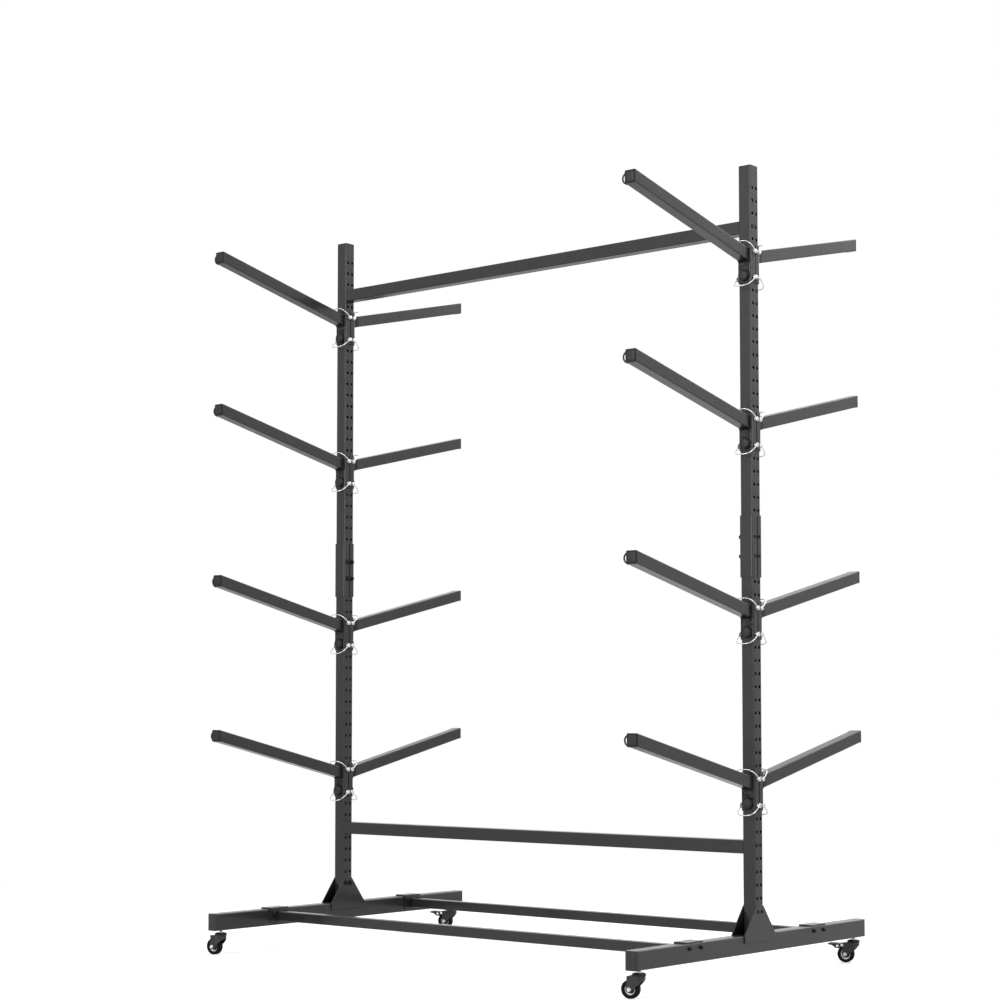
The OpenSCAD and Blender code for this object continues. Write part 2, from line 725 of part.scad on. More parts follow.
module wheel_shape() {
    half = wheel_w / 2;
    hub_half = fork_gap / 2 - face_gap;
    translate([trail, 0, wheel_r]) rotate([90, 0, 0]) difference() {
        rotate_extrude($fn = 128) polygon([
            [0, -hub_half], [hub_d / 2, -hub_half], [hub_d / 2, -half + wheel_dish],
            [wheel_r * 0.62, -half + wheel_dish], [wheel_r * 0.62, -half], [wheel_r - 3, -half],
            [wheel_r - 0.8, -half + 1.6], [wheel_r, -half + 4],
            [wheel_r, half - 4], [wheel_r - 0.8, half - 1.6], [wheel_r - 3, half],
            [wheel_r * 0.62, half], [wheel_r * 0.62, half - wheel_dish],
            [hub_d / 2, half - wheel_dish], [hub_d / 2, hub_half], [0, hub_half]]);
        translate([0, 0, -wheel_w]) cylinder(h = 2 * wheel_w, d = axle_d + 2 * run_fit);
    }
}

module pedal_shape() {
    in_y = fork_out + face_gap;
    out_y = in_y + pedal_t;
    top = pedal_z + 4.6;
    reach = norm([pedal_x - trail, pedal_z - wheel_r]);
    difference() {
        union() {
            for (m = [-1, 1]) translate([0, m > 0 ? out_y : -in_y, 0]) rotate([90, 0, 0])
                linear_extrude(pedal_t) {
                    translate([pedal_x, pedal_z]) circle(4.6);
                    polygon([[pedal_x, top], [pedal_x - 1, pedal_z - 4.4], [pedal_x + 12, pedal_z - 9],
                             [pedal_x + 19, pedal_z - 10], [pedal_x + 24, pedal_z - 7],
                             [pedal_x + 30, pedal_z - 1.5], [pedal_end, pedal_z + 0.5],
                             [pedal_end, top]]);
                }
            translate([pedal_x + 7, -out_y, top - pedal_t])
                cube([pedal_end - pedal_x - 7, 2 * out_y, pedal_t]);
            // brake shoe, square to the tyre
            translate([trail, 0, wheel_r]) rotate([0, -48, 0])
                translate([wheel_r + face_gap + 0.2, -in_y - 1, -shoe_l / 2])
                    cube([5, 2 * in_y + 2, shoe_l]);
            // rivet that holds the shoe
            translate([pedal_x + 14, 0, pedal_z - 2.9]) rod_y(rivet_d, -out_y - rivet_h, out_y + rivet_h);
        }
        translate([pedal_x, 0, pedal_z]) rod_y(pedal_pin + 2 * run_fit, -out_y - eps, out_y + eps);
    }
}

module fork(s, e, turn, braked) {
    color("#26282a") place_caster(s, e, turn) fork_shape(braked);
}

module wheel(s, e, turn) {
    color("#3a3b3d") place_caster(s, e, turn) wheel_shape();
}

module pedal(s, e, turn) {
    color("#1d1e20") place_caster(s, e, turn) pedal_shape();
}

foot(-1);  // foot_left
foot(1);  // foot_right
rail(-1);  // rail_front
rail(1);  // rail_back
crossbar(0);  // crossbar_lower
crossbar(1);  // crossbar_upper
post_lower(-1);  // post_lower_left
post_lower(1);  // post_lower_right
post_upper(-1);  // post_upper_left
post_upper(1);  // post_upper_right
splice(-1);  // splice_left
splice(1);  // splice_right
post_caps();
base_bolts();
post_bolts();
crossbar_bolts();
caster_stems();
caster_caps();
arm(-1, 0, 1);  // arm_front_left_1
arm(-1, 0, 2);  // arm_front_left_2
arm(-1, 0, 3);  // arm_front_left_3
arm(-1, 0, 4);  // arm_front_left_4
arm(1, 0, 1);  // arm_front_right_1
arm(1, 0, 2);  // arm_front_right_2
arm(1, 0, 3);  // arm_front_right_3
arm(1, 0, 4);  // arm_front_right_4
arm(-1, 1, 1);  // arm_back_left_1
arm(-1, 1, 2);  // arm_back_left_2
arm(-1, 1, 3);  // arm_back_left_3
arm(-1, 1, 4);  // arm_back_left_4
arm(1, 1, 1);  // arm_back_right_1
arm(1, 1, 2);  // arm_back_right_2
arm(1, 1, 3);  // arm_back_right_3
arm(1, 1, 4);  // arm_back_right_4
pins(-1, 0, 1);  // pins_front_left_1
pins(-1, 0, 2);  // pins_front_left_2
pins(-1, 0, 3);  // pins_front_left_3
pins(-1, 0, 4);  // pins_front_left_4
pins(1, 0, 1);  // pins_front_right_1
pins(1, 0, 2);  // pins_front_right_2
pins(1, 0, 3);  // pins_front_right_3
pins(1, 0, 4);  // pins_front_right_4
pins(-1, 1, 1);  // pins_back_left_1
pins(-1, 1, 2);  // pins_back_left_2
pins(-1, 1, 3);  // pins_back_left_3
pins(-1, 1, 4);  // pins_back_left_4
pins(1, 1, 1);  // pins_back_right_1
pins(1, 1, 2);  // pins_back_right_2
pins(1, 1, 3);  // pins_back_right_3
pins(1, 1, 4);  // pins_back_right_4
fork(-1, -1, turn_fl, false);  // fork_front_left
fork(1, -1, turn_fr, false);  // fork_front_right
fork(-1, 1, turn_bl, true);  // fork_back_left
fork(1, 1, turn_br, true);  // fork_back_right
wheel(-1, -1, turn_fl);  // wheel_front_left
wheel(1, -1, turn_fr);  // wheel_front_right
wheel(-1, 1, turn_bl);  // wheel_back_left
wheel(1, 1, turn_br);  // wheel_back_right
pedal(-1, 1, turn_bl);  // pedal_left
pedal(1, 1, turn_br);  // pedal_right
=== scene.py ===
import math
import random

import bpy
from mathutils import Matrix, Vector


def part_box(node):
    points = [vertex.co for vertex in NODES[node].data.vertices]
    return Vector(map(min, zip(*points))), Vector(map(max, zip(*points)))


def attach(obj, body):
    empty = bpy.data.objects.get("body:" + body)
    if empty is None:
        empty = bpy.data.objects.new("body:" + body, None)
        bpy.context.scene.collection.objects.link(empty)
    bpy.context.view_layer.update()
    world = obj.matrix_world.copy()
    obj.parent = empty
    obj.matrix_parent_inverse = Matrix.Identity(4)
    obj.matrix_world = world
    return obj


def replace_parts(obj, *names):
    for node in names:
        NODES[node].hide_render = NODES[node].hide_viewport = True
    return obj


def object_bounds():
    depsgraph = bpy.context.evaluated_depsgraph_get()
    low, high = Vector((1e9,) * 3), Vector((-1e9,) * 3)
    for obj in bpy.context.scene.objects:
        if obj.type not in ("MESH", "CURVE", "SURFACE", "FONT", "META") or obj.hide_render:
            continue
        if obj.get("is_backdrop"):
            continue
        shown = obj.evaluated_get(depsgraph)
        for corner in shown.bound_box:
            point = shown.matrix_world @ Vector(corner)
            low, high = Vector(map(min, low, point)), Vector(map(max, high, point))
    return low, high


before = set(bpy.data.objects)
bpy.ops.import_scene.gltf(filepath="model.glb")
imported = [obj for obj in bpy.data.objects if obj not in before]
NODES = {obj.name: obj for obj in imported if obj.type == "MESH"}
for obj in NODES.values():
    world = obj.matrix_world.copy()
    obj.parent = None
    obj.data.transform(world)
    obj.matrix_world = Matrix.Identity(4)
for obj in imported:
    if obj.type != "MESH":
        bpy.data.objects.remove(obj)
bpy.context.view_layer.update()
random.seed(7)

# ---------------------------------------------------------------- sizes, in millimetres
POST_X = {}  # the middle of each post
for side in ("left", "right"):
    lo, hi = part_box("post_lower_" + side)
    POST_X[side] = (lo.x + hi.x) * 500.0
SIDES = (("left", -1), ("right", 1))
# posts and feet
POST_H = 20.0  # half the width of a post, and of a foot
POST_LEN = 1088.5  # each of the two tubes of a post
FOOT_Z, FOOT_H = 76.0, 52.0  # the foot's underside, and its height
POST_Z = FOOT_Z + FOOT_H
JOINT_Z = POST_Z + POST_LEN
TOP_Z = JOINT_Z + POST_LEN
COL_Y = 9.5  # each column of holes, off the post's middle
HOLE_PITCH, FIRST_HOLE, SPLICE_HOLE = 37.0, 62.0, 27.5  # the last two from a tube's end
BAR_BOLT_LEN, NUT_ROOM = 49.0, 9.0  # a crossbar bolt's shank; shank left for nut and end
PLATE_FACE = 23.1  # from the post's middle to the face of its gussets and splices
GUSSET_HALF, GUSSET_LAP = 76.0, 20.0  # half its base, and how far it laps the foot's side
# base rails; heights count from the foot's underside
RAIL_Y, RAIL_UP, RAIL_W, RAIL_PLATE = 312.0, 29.0, 30.0, 4.0
BASE_BOLT_Y, BASE_BOLT_UP, BASE_BOLT_LEN = 26.5, 38.5, 53.0  # y off the rail's middle
BASE_HEAD_D, BASE_HEAD_H = 10.8, 6.0
# arms; z counts from the lower pin
ARM_Z = {1: 486.0, 2: 967.0, 3: 1503.0, 4: 1984.0}  # lower pin of each level
PIN_SPAN, BR_OUT = 74.0, 23.0  # between the two pins, and half the bracket's width
ARM_W, TILT, REACH = 35.0, math.radians(13), 562.0
DROP = 10.0  # from the upper pin down to the middle of the arm's root
RISE = math.tan(TILT)
ROOT_Z = PIN_SPAN - DROP
TIP_Z = ROOT_Z + (REACH - BR_OUT) * RISE
ARM_HZ = ARM_W / math.cos(TILT)
RING_IN, RING_R = 6.0, 14.5  # the strap ring's distance from the tip, and its radius
KNOB_Z, KNOB_R, KNOB_OUT = 6.0, 16.5, (23.1, 33.0)  # its axis, and what it stays within
# casters; x counts from the swivel's axis
CASTER_Y, TRAIL, WHEEL_R = 539.0, 23.0, 25.0
CASTER_TOP, CAP_H = 68.3, 7.9  # top of the swivel cap, and its height
FORK_T, FORK_HALF, PLAY = 2.5, 14.5, 0.3  # sheet, half the width, gap over and under it
PEDAL_X, PEDAL_Z = 31.0, 52.2  # the pedal's pivot
# degrees about Z from +x to where each wheel trails
TURN = {"front_left": 190, "front_right": 195, "back_left": 200, "back_right": 198}
THREAD, THREAD_ROOT = 1.25, 0.62  # pitch of the threads, and where their root lies in it


# ---------------------------------------------------------------- geometry helpers
class Geo:
    """Vertices in millimetres, faces that wind counter-clockwise seen from outside, materials."""

    def __init__(self):
        self.v, self.f, self.m = [], [], {}

    def add(self, other, place=None):
        n, count = len(self.v), len(self.f)
        place = place or Matrix.Identity(4)
        flip = place.to_3x3().determinant() < 0
        self.v += [place @ Vector(p) for p in other.v]
        for k, face in enumerate(other.f):
            face = tuple(i + n for i in face)
            self.f.append(face[::-1] if flip else face)
            if other.m.get(k, 0):
                self.m[count + k] = other.m[k]
        return self

    def paint(self, number, test):
        """Gives a material to the faces whose centre passes the test."""
        for k, face in enumerate(self.f):
            if test(sum((Vector(self.v[i]) for i in face), Vector()) / len(face)):
                self.m[k] = number
        return self


def loft(loops, start=None, end=None):
    """Loops of equal length, counter-clockwise about their advance; start and end close it."""
    n, g = len(loops[0]), Geo()
    for loop in loops:
        g.v += [Vector(p) for p in loop]
    for i in range(len(loops) - 1):
        for j in range(n):
            k = (j + 1) % n
            g.f.append((i * n + j, i * n + k, (i + 1) * n + k, (i + 1) * n + j))
    if start is not None:
        g.v.append(Vector(start))
        c = len(g.v) - 1
        g.f += [(c, (j + 1) % n, j) for j in range(n)]
    if end is not None:
        g.v.append(Vector(end))
        c, b = len(g.v) - 1, (len(loops) - 1) * n
        g.f += [(c, b + j, b + (j + 1) % n) for j in range(n)]
    return g


def circle(n):
    """Cosines and sines of n angles round a full turn."""
    angles = [2 * math.pi * j / n for j in range(n)]
    return [(math.cos(a), math.sin(a)) for a in angles]


def quarter(steps, first=0):
    """Cosines and sines of the angles of a quarter turn, from step first to the last."""
    angles = [math.pi / 2 * k / steps for k in range(first, steps + 1)]
    return [(math.cos(a), math.sin(a)) for a in angles]


def ring(r, z, n=48):
    return [(r * c, r * s, z) for c, s in circle(n)]


def hexagon(flat, z, n=48, limit=1e9):
    """Points round a hexagon of that width across its flats, kept within a radius."""
    out = []
    for j, (c, s) in enumerate(circle(n)):
        m = (2 * math.pi * j / n + math.pi / 6) % (math.pi / 3) - math.pi / 6
        r = min(flat / 2 / math.cos(m), limit)
        out.append((r * c, r * s, z))
    return out


def square(w, h, r, z):
    """Points round a rounded rectangle, counter-clockwise."""
    per = 5  # steps round each corner
    r = max(min(r, w / 2 - 0.01, h / 2 - 0.01), 0.01)
    out = []
    for q, (sx, sy) in enumerate([(1, 1), (-1, 1), (-1, -1), (1, -1)]):
        for k in range(per + 1):
            a = math.pi / 2 * (q + k / per)
            x, y = sx * (w / 2 - r) + r * math.cos(a), sy * (h / 2 - r) + r * math.sin(a)
            out.append((x, y, z))
    return out


def block(levels, end, stretch=1.0):
    """A rounded block of (width, corner radius, z) levels, its height in y stretched."""
    loops = [square(w, w * stretch, r, z) for w, r, z in levels]
    return loft(loops, (0, 0, levels[0][2]), (0, 0, end))


def lathe(profile, n=48):
    """Revolves (radius, z) points about Z; the first and last are closed to the axis."""
    loops = [ring(r, z, n) for r, z in profile]
    return loft(loops, (0, 0, profile[0][1]), (0, 0, profile[-1][1]))


def revolve(section, n):
    """Revolves a closed section of (radius, z) points, none on the axis, about Z."""
    loops = [ring(r, z, n) for r, z in section]
    return loft(loops + [loops[0]])


def sweep(path, radius, n, closed=False):
    """A tube along path; radius is a number or one per point."""
    path = [Vector(p) for p in path]
    count = len(path)
    radii = radius if hasattr(radius, "__len__") else [radius] * count
    tangents = []
    for i in range(count):
        a = path[(i - 1) % count] if closed or i else path[i]
        b = path[(i + 1) % count] if closed or i < count - 1 else path[i]
        tangents.append((b - a).normalized())
    side = tangents[0].orthogonal().normalized()
    loops = []
    for i in range(count):
        t = tangents[i]
        side = (side - t * side.dot(t)).normalized()
        up = t.cross(side)
        loops.append([path[i] + radii[i] * (side * c + up * s) for c, s in circle(n)])
    if closed:
        # the last ring joins the first with the turn that the frames gained
        first, last = loops[0], loops[-1]

        def gap(turn):
            return sum((first[(j + turn) % n] - last[j]).length for j in range(n))

        best = min(range(n), key=gap)
        return loft(loops + [[first[(j + best) % n] for j in range(n)]])
    # each end is drawn in to a low dome
    out0, out1 = -tangents[0] * radii[0], tangents[-1] * radii[-1]
    start = [[path[0] + out0 * 0.35 + (p - path[0]) * 0.7 for p in loops[0]]]
    end = [[path[-1] + out1 * 0.35 + (p - path[-1]) * 0.7 for p in loops[-1]]]
    return loft(start + loops + end, path[0] + out0 * 0.45, path[-1] + out1 * 0.45)


def resample(points, step, closed=False):
    """Points at equal steps along a path."""
    pts = [Vector(p) for p in points] + ([Vector(points[0])] if closed else [])
    out, carry = [pts[0].copy()], 0.0
    for a, b in zip(pts, pts[1:]):
        length = (b - a).length
        d = step - carry
        while d <= length - 1e-9:
            out.append(a.lerp(b, d / length))
            d += step
        carry = length - (d - step)
    if closed and (out[-1] - out[0]).length < step * 0.5:
        out.pop()
    if not closed and (out[-1] - pts[-1]).length > step * 0.3:
        out.append(pts[-1].copy())
    return out


def bead(points, radius, pitch=3.2, closed=False):
    """A ripple weld along a path."""
    step, every = 0.8, 6  # between rings, and rings from one random width to the next
    path = resample(points, step, closed)
    wobble = [random.uniform(-1, 1) for _ in range(len(path) // every + 3)]
    radii = []
    for i in range(len(path)):
        s = i * step / pitch % 1.0
        k, part = i // every, i % every / every
        w = wobble[k] * (1 - part) + wobble[k + 1] * part
        radii.append(radius * (0.84 + 0.2 * math.sqrt(1 - (2 * s - 1) ** 2 * 0.85) + 0.05 * w))
    return sweep(path, radii, 8, closed)


def along(axis, origin=(0, 0, 0), spin=0.0):
    """A frame whose Z points along axis."""
    q = Vector(axis).normalized().to_track_quat("Z", "Y").to_matrix().to_4x4()
    return Matrix.Translation(Vector(origin)) @ q @ Matrix.Rotation(spin, 4, "Z")


def mirror(s, axis):
    """A frame mirrored along axis where s is -1."""
    return Matrix.Scale(s, 4, axis)


def any_spin():
    return random.uniform(0, 1)


def in_scene(name, data):
    obj = bpy.data.objects.new(name, data)
    bpy.context.scene.collection.objects.link(obj)
    return obj


def piece(name, geo, material, body, angle=35.0):
    """Makes the mesh in metres, with edges sharper than angle kept, and lets it ride on body."""
    mesh = bpy.data.meshes.new(name)
    mesh.from_pydata([tuple(Vector(p) * 0.001) for p in geo.v], [], geo.f)
    for m in material if isinstance(material, list) else [material]:
        mesh.materials.append(m)
    for poly in mesh.polygons:
        poly.use_smooth = True
        poly.material_index = geo.m.get(poly.index, 0)
    mesh.validate()
    mesh.update()
    mesh.set_sharp_from_angle(angle=math.radians(angle))
    obj = in_scene(name, mesh)
    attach(obj, body)
    return obj


# ---------------------------------------------------------------- materials
class Nodes:
    """A material and short names for the nodes that it is made of; lengths in metres."""

    def __init__(self, name):
        self.material = bpy.data.materials.new(name)
        self.material.use_nodes = True
        self.tree = self.material.node_tree
        self.tree.nodes.clear()
        self.out = self.new("ShaderNodeOutputMaterial")
        self.bsdf = self.new("ShaderNodeBsdfPrincipled")
        self.link(self.bsdf.outputs[0], self.out.inputs["Surface"])
        self.coords = self.new("ShaderNodeTexCoord").outputs["Object"]

    def new(self, kind, **inputs):
        node = self.tree.nodes.new(kind)
        self.fill(node, inputs)
        return node

    def link(self, a, b):
        self.tree.links.new(a, b)

    def put(self, socket, value):
        if isinstance(value, bpy.types.NodeSocket):
            self.link(value, socket)
        else:
            socket.default_value = value

    def fill(self, node, inputs):
        for key, value in inputs.items():
            self.put(node.inputs[key.replace("_", " ")], value)

    def set(self, **inputs):
        self.fill(self.bsdf, inputs)

    def noise(self, scale, detail=2.0, rough=0.5, distort=0.0, stretch=None):
        n = self.new("ShaderNodeTexNoise", Scale=scale, Detail=detail, Roughness=rough,
                     Distortion=distort)
        source = self.coords
        if stretch:
            source = self.new("ShaderNodeMapping", Scale=stretch, Vector=source).outputs[0]
        self.link(source, n.inputs["Vector"])
        return n.outputs["Fac"]

    def cells(self, scale):
        n = self.new("ShaderNodeTexVoronoi")
        n.feature = "SMOOTH_F1"
        self.fill(n, {"Scale": scale, "Randomness": 1.0, "Vector": self.coords})
        return n.outputs["Distance"]

    def remap(self, value, a, b, c, d, smooth=False):
        n = self.new("ShaderNodeMapRange")
        if smooth:
            n.interpolation_type = "SMOOTHSTEP"
        self.fill(n, {"Value": value, "From Min": a, "From Max": b, "To Min": c, "To Max": d})
        return n.outputs["Result"]

    def cloudy(self, scale, low=0.0, high=1.0, **noise):
        """Soft clouds between two values."""
        noise = {"detail": 4.0, "rough": 0.6, **noise}
        return self.remap(self.noise(scale, **noise), 0.3, 0.7, low, high)

    def patches(self, amount, start, end, **noise):
        """0 where the noise is below start, rising to amount in scattered patches."""
        return self.remap(self.noise(**noise), start, end, 0.0, amount, True)

    def math(self, op, a, b):
        n = self.new("ShaderNodeMath")
        n.operation = op
        self.put(n.inputs[0], a)
        self.put(n.inputs[1], b)
        return n.outputs[0]

    def times(self, a, b):
        return self.math("MULTIPLY", a, b)

    def plus(self, a, b):
        return self.math("ADD", a, b)

    def mix(self, factor, a, b):
        n = self.new("ShaderNodeMix")
        n.data_type = "RGBA"
        self.fill(n, {"Factor": factor, "A": a, "B": b})
        return n.outputs["Result"]

    def corner_shade(self, reach):
        """Mask for painted shade: 0 deep in the piece's own corners, rising to 1 in the open."""
        n = self.new("ShaderNodeAmbientOcclusion", Distance=reach)
        n.samples, n.only_local = 6, True
        return self.remap(n.outputs["AO"], 0.45, 0.92, 0.0, 1.0)

    def bevel(self, radius):
        n = self.new("ShaderNodeBevel", Radius=radius)
        n.samples = 4
        return n.outputs["Normal"]

    def edges(self, bevelled):
        """0 on flats, rising to 1 along edges."""
        flat = self.new("ShaderNodeNewGeometry").outputs["Normal"]
        n = self.new("ShaderNodeVectorMath")
        n.operation = "DOT_PRODUCT"
        self.link(bevelled, n.inputs[0])
        self.link(flat, n.inputs[1])
        return self.remap(n.outputs["Value"], 0.995, 0.80, 0.0, 1.0)

    def bump(self, height, strength, distance, normal=None):
        n = self.new("ShaderNodeBump", Strength=strength, Distance=distance, Height=height)
        if normal is not None:
            self.link(normal, n.inputs["Normal"])
        return n.outputs["Normal"]


def rgb(r, g=None, b=None):
    return (r, r if g is None else g, r if b is None else b, 1.0)


# metres from the post's middle where the painted shade at an arm's root starts, is full, fades
# and ends
ROOT_SHADE = (0.0225, 0.0236, 0.0325, 0.0490)


# corner is how far, in metres, the painted shade reaches into the piece's own corners
def powder_coat(name, dark, light, bare, rough=(0.27, 0.40), root_shade=False, gloss=0.42,
                corner=0.016):
    """Powder coat: pebbled skin, faint clouds, dust, rubbed edges, painted shade in its own
    corners, and for arms painted shade beside the root weld.
    """
    m = Nodes(name)
    bevelled = m.bevel(0.0011)
    colour = m.mix(m.cloudy(5.0), rgb(*dark), rgb(*light))
    dust = m.patches(0.16, 0.60, 0.80, scale=38.0, detail=5.0, rough=0.65, distort=0.4)
    colour = m.mix(dust, colour, rgb(0.075, 0.074, 0.071))
    rub = m.patches(0.45, 0.48, 0.72, scale=70.0, detail=4.0, rough=0.7)
    rub = m.times(m.edges(bevelled), rub)
    colour = m.mix(rub, colour, rgb(*bare))
    # painted shade: colour near black deep in the piece's own corners and creases
    colour = m.mix(m.corner_shade(corner), rgb(0.003), colour)
    if root_shade:
        # painted shade beside the weld at the arm's root: colour near black and the coat's gloss
        # taken away, with an uneven edge
        split = m.new("ShaderNodeSeparateXYZ")
        m.link(m.coords, split.inputs[0])
        far = m.math("ABSOLUTE", split.outputs["Y"], 0.0)
        far = m.plus(far, m.cloudy(120.0, -0.0012, 0.0012, detail=3.0, rough=0.5))
        start, full, fade, end = ROOT_SHADE
        near = m.times(m.remap(far, start, full, 0.0, 1.0),
                       m.remap(far, fade, end, 1.0, 0.0, True))
        colour = m.mix(near, colour, rgb(0.002))
        gloss = m.times(m.math("SUBTRACT", 1.0, near), gloss)
    scratch = m.patches(0.35, 0.70, 0.78, scale=55.0, detail=6.0, rough=0.8, distort=0.2,
                        stretch=(0.35, 1.0, 2.4))
    r = m.math("SUBTRACT", m.cloudy(26.0, *rough), m.times(scratch, 0.25))
    skin = m.plus(m.times(m.cells(620.0), 0.8), m.times(m.noise(1500.0), 0.5))
    m.set(Base_Color=colour, Roughness=r, Normal=m.bump(skin, 0.24, 0.00012, bevelled),
          Metallic=0.0, Specular_IOR_Level=0.20, Coat_Weight=gloss, Coat_Roughness=0.14,
          Coat_Normal=bevelled)
    return m.material


def zinc(name):
    m = Nodes(name)
    bevelled = m.bevel(0.0004)
    colour = m.mix(m.cloudy(60.0, distort=0.3), rgb(0.60, 0.61, 0.63), rgb(0.70, 0.69, 0.65))
    stain = m.patches(0.5, 0.62, 0.8, scale=210.0, detail=5.0, rough=0.7)
    colour = m.mix(stain, colour, rgb(0.30, 0.29, 0.27))
    grain = m.noise(900.0, detail=3.0, rough=0.6, stretch=(1.0, 1.0, 0.3))
    m.set(Base_Color=colour, Roughness=m.plus(m.cloudy(160.0, 0.20, 0.36), m.times(stain, 0.3)),
          Metallic=1.0, Normal=m.bump(grain, 0.22, 0.00006, bevelled))
    return m.material


def black_oxide(name):
    m = Nodes(name)
    bevelled = m.bevel(0.0003)
    cloud = m.remap(m.noise(120.0, detail=4.0, rough=0.6), 0.35, 0.7, 0.0, 1.0)
    colour = m.mix(cloud, rgb(0.004), rgb(0.010, 0.0095, 0.009))
    colour = m.mix(m.times(m.edges(bevelled), 0.3), colour, rgb(0.07, 0.07, 0.072))
    m.set(Base_Color=colour, Metallic=0.2, Roughness=m.cloudy(240.0, 0.38, 0.56),
          Normal=m.bump(m.noise(1600.0), 0.25, 0.00005, bevelled),
          Specular_IOR_Level=0.22)
    return m.material


def plastic(name, dark, light, rough=(0.42, 0.6), grain=2200.0, shine=0.45):
    m = Nodes(name)
    bevelled = m.bevel(0.0004)
    colour = m.mix(m.cloudy(30.0), rgb(*dark), rgb(*light))
    scuff = m.patches(0.3, 0.62, 0.78, scale=150.0, detail=6.0, rough=0.75, distort=0.5)
    colour = m.mix(scuff, colour, rgb(*[min(1.0, 2.2 * c + 0.012) for c in light]))
    skin = m.plus(m.cells(grain), m.times(m.noise(grain * 0.4), 0.6))
    m.set(Base_Color=colour, Roughness=m.cloudy(60.0, *rough), Specular_IOR_Level=shine,
          Normal=m.bump(skin, 0.35, 0.00005, bevelled))
    return m.material


def rubber(name):
    m = Nodes(name)
    colour = m.mix(m.cloudy(80.0), rgb(0.003), rgb(0.006, 0.0058, 0.0056))
    dust = m.patches(0.10, 0.55, 0.80, scale=190.0, detail=6.0, rough=0.75)
    colour = m.mix(dust, colour, rgb(0.040, 0.037, 0.033))
    m.set(Base_Color=colour, Roughness=m.cloudy(140.0, 0.48, 0.70), Specular_IOR_Level=0.08,
          Normal=m.bump(m.noise(1300.0, detail=3.0, rough=0.6), 0.3, 0.00008))
    return m.material


CHARCOAL = ((0.0125, 0.0127, 0.0131), (0.0170, 0.0172, 0.0176), (0.070, 0.069, 0.067))
COAT = powder_coat("coat_charcoal", *CHARCOAL)
# the arms' coat carries painted shade beside each root weld
COAT_ARM_ROOT_SHADE = powder_coat("coat_charcoal_arm_root_shade", (0.0130, 0.0134, 0.0136),
                       (0.0180, 0.0185, 0.0187), (0.085, 0.084, 0.081), (0.26, 0.38), root_shade=True)
# the feet's coat: painted shade reaching further into corners, to darken the inside of the
# gussets
COAT_FOOT_DEEP_SHADE = powder_coat("coat_charcoal_foot_deep_shade", *CHARCOAL, corner=0.05)
# near-black coat on the weld beads: painted shade at the arm roots and along the gussets and rail
# ends
WELD_SHADE = powder_coat("coat_over_weld_painted_shade", (0.003, 0.003, 0.0032), (0.008, 0.008, 0.0082),
                   (0.03, 0.03, 0.03), (0.38, 0.55), gloss=0.0)
SHEET = powder_coat("coat_black_sheet", (0.010, 0.010, 0.0105), (0.016, 0.016, 0.0165),
                    (0.11, 0.11, 0.11), (0.26, 0.40))
ZINC = zinc("zinc_bright")
OXIDE = black_oxide("bolt_black_oxide")
PLASTIC = plastic("plastic_black", (0.005, 0.005, 0.0052), (0.009, 0.009, 0.0093), shine=0.25)
# the same black plastic painted lighter: painted light on the faces of knobs and end caps, beside
# their dark rims
PLASTIC_LIT = plastic("plastic_face_painted_light", (0.0095, 0.0097, 0.0100), (0.0155, 0.0157, 0.0160),
               (0.34, 0.48), grain=1700.0, shine=0.30)
GREY = plastic("plastic_grey_ring", (0.78, 0.785, 0.79), (0.85, 0.855, 0.86), (0.30, 0.44),
               grain=2600.0)
TYRE = rubber("rubber_tyre")


def in_knob(p):
    off = min(abs(p.z * 1000.0 - z - KNOB_Z) for z in ARM_Z.values())
    return KNOB_OUT[0] < abs(p.y) * 1000.0 < KNOB_OUT[1] and off < KNOB_R


def in_cap(p):
    return abs(p.y) * 1000.0 > REACH + 0.02


def coats(n):
    """The materials of a node's own mesh; an arm's second one is for its cap and knob."""
    if n.startswith("pins") or n == "caster_stems":
        return [ZINC]
    if n.endswith("bolts"):
        return [OXIDE]
    if n in ("post_caps", "caster_caps"):
        return [PLASTIC]
    if n.startswith("wheel"):
        return [TYRE]
    if n.startswith(("fork", "pedal")):
        return [SHEET]
    if n.startswith("arm"):
        return [COAT_ARM_ROOT_SHADE, PLASTIC]
    return [COAT_FOOT_DEEP_SHADE if n.startswith("foot") else COAT]


for n, obj in NODES.items():
    obj.data.materials.clear()
    for material in coats(n):
        obj.data.materials.append(material)
    if n.startswith("arm"):
        for poly in obj.data.polygons:
            poly.material_index = int(in_knob(poly.center) or in_cap(poly.center))


# ---------------------------------------------------------------- fasteners
def bolt_geo(shank, head_d=11.4, head_h=1.6):
    """Rounded head with a hexagon socket; the seat is at z = 0 and the shank runs to -shank."""
    n, d, socket = 48, 8.0, 4.0
    z = -shank + 1.0
    loops = [ring(d * 0.36, -shank, n), ring(d * 0.5, z, n)]
    while z < -shank + 9.0:
        loops += [ring(d * 0.43, z + THREAD_ROOT, n), ring(d * 0.5, z + THREAD, n)]
        z += THREAD
    loops += [ring(d * 0.5, 0, n), ring(head_d * 0.485, 0.0, n), ring(head_d * 0.5, 0.25, n),
              ring(head_d * 0.5, head_h * 0.28, n)]
    for c, s in quarter(7, 1)[:-1]:
        loops.append(ring(head_d * (0.27 + 0.23 * c), head_h * (0.28 + 0.72 * s), n))
    loops += [ring(head_d * 0.245, head_h, n), hexagon(socket + 0.5, head_h - 0.02, n),
              hexagon(socket, head_h - 0.3, n), hexagon(socket, head_h - 2.6, n)]
    return loft(loops, (0, 0, -shank), (0, 0, head_h - 3.2))


